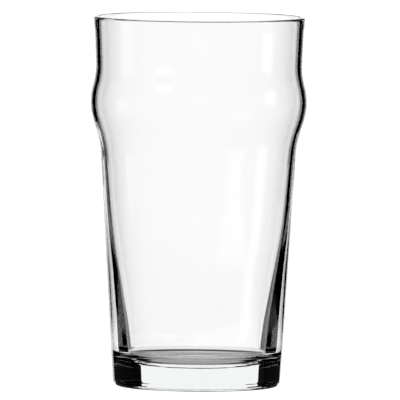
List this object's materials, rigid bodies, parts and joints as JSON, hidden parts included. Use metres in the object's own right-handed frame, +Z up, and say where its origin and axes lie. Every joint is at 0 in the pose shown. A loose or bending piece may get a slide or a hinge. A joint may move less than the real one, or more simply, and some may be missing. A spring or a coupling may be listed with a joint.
{
  "type": "pint glass",
  "caption": "Clear nonic pint glass: a heavy solid foot, a straight taper, a round bulge below the rim for grip and stacking, and an open mouth.",
  "frame": {"origin": "on the glass's axis, in the plane of the ring that it stands on", "axes": "+Z up along the axis, from the foot to the rim; the glass is round, so +X and +Y are alike"},
  "size_m": [0.0884, 0.0884, 0.151],
  "materials": {
    "clear_glass": "clear colourless soda-lime glass, fire-polished, glossy"
  },
  "bodies": {
    "root": {"glass_body": "clear_glass"}
  },
  "joints": []
}
